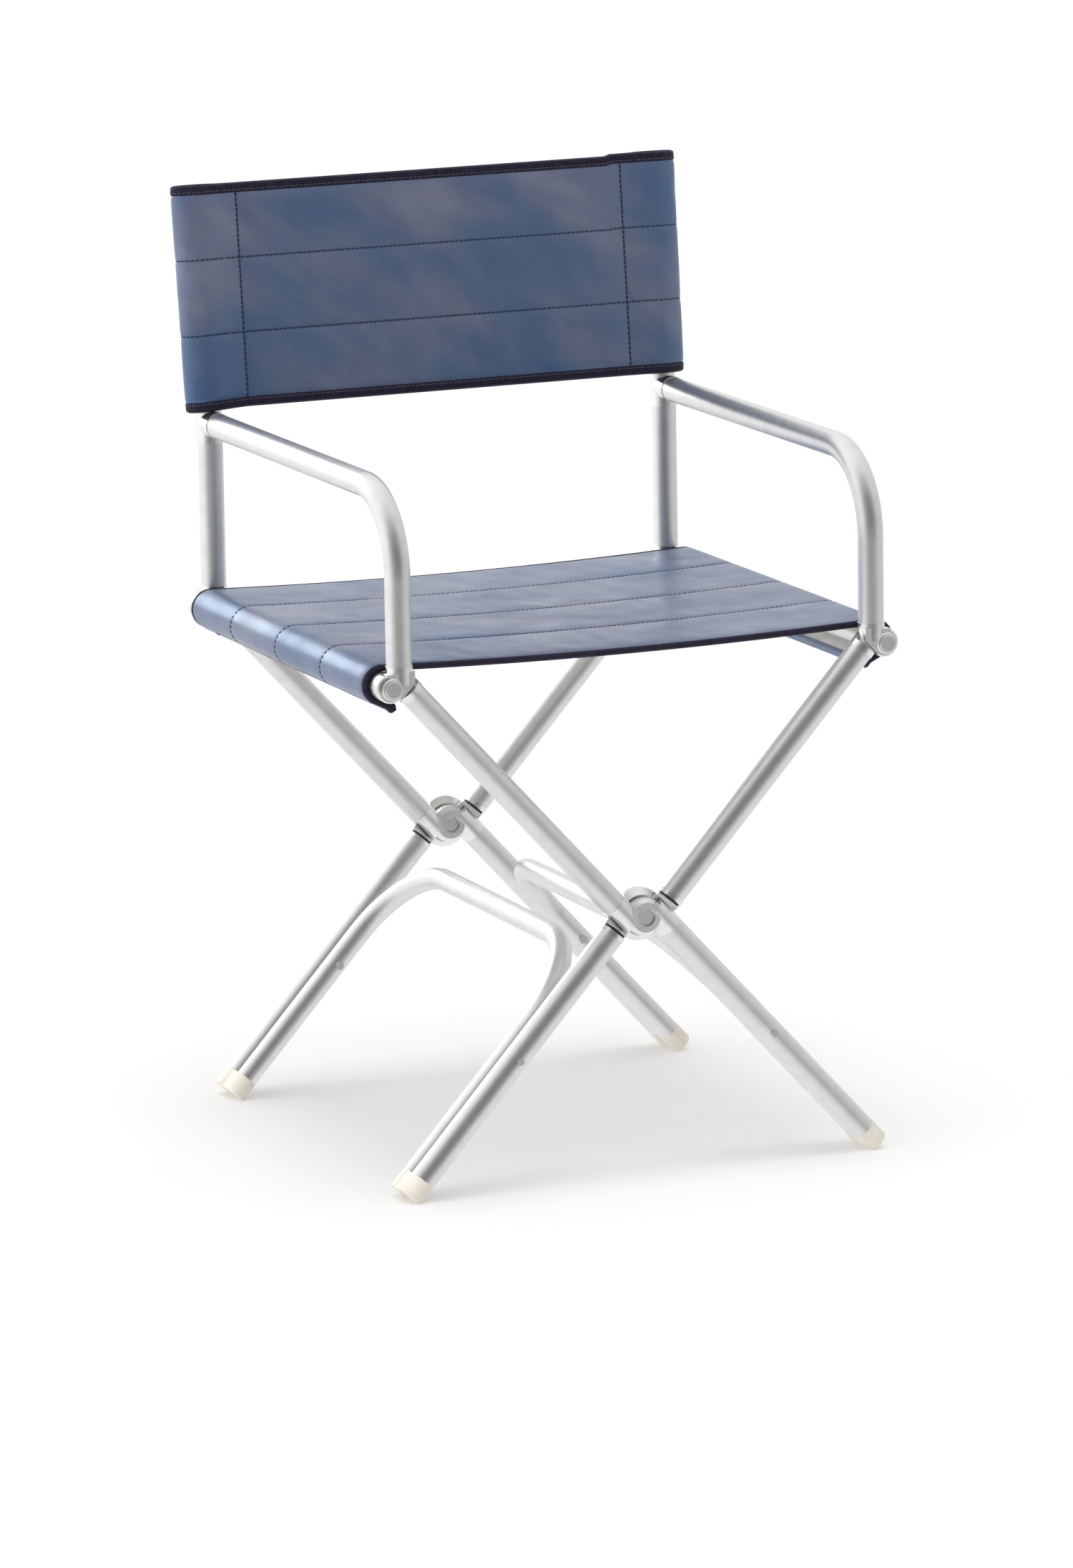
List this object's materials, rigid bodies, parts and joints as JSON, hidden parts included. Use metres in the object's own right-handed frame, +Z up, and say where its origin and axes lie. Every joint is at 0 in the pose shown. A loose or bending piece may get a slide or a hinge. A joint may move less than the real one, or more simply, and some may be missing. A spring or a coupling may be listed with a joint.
{
  "type": "folding director's chair",
  "caption": "Folding director's chair with scissor legs of aluminium tube, tubular arms, and a padded slung seat and back.",
  "frame": {"origin": "on the floor under the middle of the chair's bounding box, 16.4 mm behind the middle of the four feet", "axes": "+Z up, the chair faces -Y, +X towards the side that is on the right as you look at its front; all hinge pins run along Y"},
  "size_m": [0.5108, 0.5138, 0.8496],
  "materials": {
    "satin_tube": "satin anodised tube",
    "polished_casting": "polished casting",
    "sling_vinyl": "padded blue leatherette, satin",
    "binding": "dark navy folded binding tape",
    "white_nylon": "off-white nylon",
    "black_rubber": "black rubber or soft plastic"
  },
  "bodies": {
    "side_left": {"rail_left": "satin_tube", "rail_plugs_left": "polished_casting", "knuckle_front_left": "polished_casting", "knuckle_rear_left": "polished_casting", "arm_tube_left": "satin_tube", "rear_post_left": "satin_tube", "tee_left": "polished_casting", "back_post_left": "satin_tube", "post_cap_left": "black_rubber", "pivot_pins_left": "polished_casting", "seat_wrap_left": "sling_vinyl", "seat_rod_left": "white_nylon", "back_sleeve_left": "sling_vinyl", "bindings_left": "binding", "seat_panel": "sling_vinyl", "seat_bindings": "binding", "back_panel": "sling_vinyl", "back_bindings": "binding"},
    "side_right": {"rail_right": "satin_tube", "rail_plugs_right": "polished_casting", "knuckle_front_right": "polished_casting", "knuckle_rear_right": "polished_casting", "arm_tube_right": "satin_tube", "rear_post_right": "satin_tube", "tee_right": "polished_casting", "back_post_right": "satin_tube", "post_cap_right": "black_rubber", "pivot_pins_right": "polished_casting", "seat_wrap_right": "sling_vinyl", "seat_rod_right": "white_nylon", "back_sleeve_right": "sling_vinyl", "bindings_right": "binding"},
    "leg_b": {"leg_eye_b_front": "polished_casting", "leg_eye_b_rear": "polished_casting", "upper_tube_b_front": "satin_tube", "upper_tube_b_rear": "satin_tube", "hub_b_front": "polished_casting", "hub_b_rear": "polished_casting", "hub_pins": "polished_casting", "hub_washers": "white_nylon", "lower_tube_b_front": "satin_tube", "lower_tube_b_rear": "satin_tube", "stretcher_b": "satin_tube", "rivets_b": "polished_casting", "foot_front_right": "white_nylon", "foot_rear_right": "white_nylon"},
    "leg_a": {"leg_eye_a_front": "polished_casting", "leg_eye_a_rear": "polished_casting", "upper_tube_a_front": "satin_tube", "upper_tube_a_rear": "satin_tube", "hub_a_front": "polished_casting", "hub_a_rear": "polished_casting", "hub_collars_a": "polished_casting", "hub_rings_a": "black_rubber", "lower_tube_a_front": "satin_tube", "lower_tube_a_rear": "satin_tube", "stretcher_a": "satin_tube", "rivets_a": "polished_casting", "foot_front_left": "white_nylon", "foot_rear_left": "white_nylon"}
  },
  "joints": [
    {"name": "left_knuckle", "type": "hinge", "parent": "side_left", "child": "leg_b", "pos_m": [-0.237, 0, 0.4625], "axis": [0, 1, 0], "range_deg": [0, 40.4], "deforming": ["seat_panel", "seat_bindings", "back_panel", "back_bindings"]},
    {"name": "hub", "type": "hinge", "parent": "leg_b", "child": "leg_a", "pos_m": [0, 0, 0.2365], "axis": [0, 1, 0], "range_deg": [-80.8, 0]},
    {"name": "right_knuckle", "type": "hinge", "parent": "leg_a", "child": "side_right", "pos_m": [0.237, 0, 0.4625], "axis": [0, 1, 0], "range_deg": [0, 40.4]}
  ],
  "couplings": [
    {"joint": "hub", "follows": "left_knuckle", "ratio": -2},
    {"joint": "right_knuckle", "follows": "left_knuckle", "ratio": 1}
  ]
}
